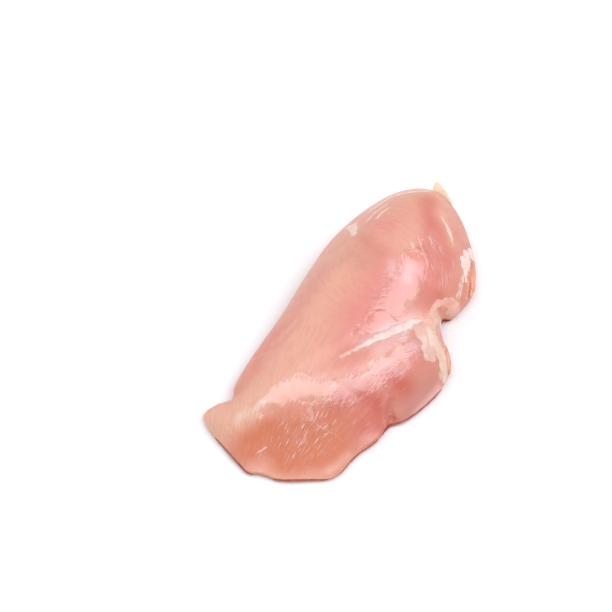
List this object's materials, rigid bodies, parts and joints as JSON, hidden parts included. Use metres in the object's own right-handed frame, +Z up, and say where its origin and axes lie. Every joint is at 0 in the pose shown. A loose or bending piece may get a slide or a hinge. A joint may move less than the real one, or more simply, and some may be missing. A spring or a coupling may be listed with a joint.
{
  "type": "raw chicken breast",
  "caption": "Raw boneless skinless chicken breast fillet, thick and rounded at the shoulder and thinning to a flat tail, resting on its flat underside.",
  "frame": {"origin": "under the middle of the fillet, on the surface it rests on", "axes": "+X from the thin tail to the thick shoulder end, +Y to the steep back flank, +Z up"},
  "size_m": [0.1816, 0.088, 0.0347],
  "materials": {
    "meat": "wet raw poultry meat, peach pink with coral areas, cream fat and a pale fascia seam"
  },
  "bodies": {
    "root": {"breast": "meat"}
  },
  "joints": []
}
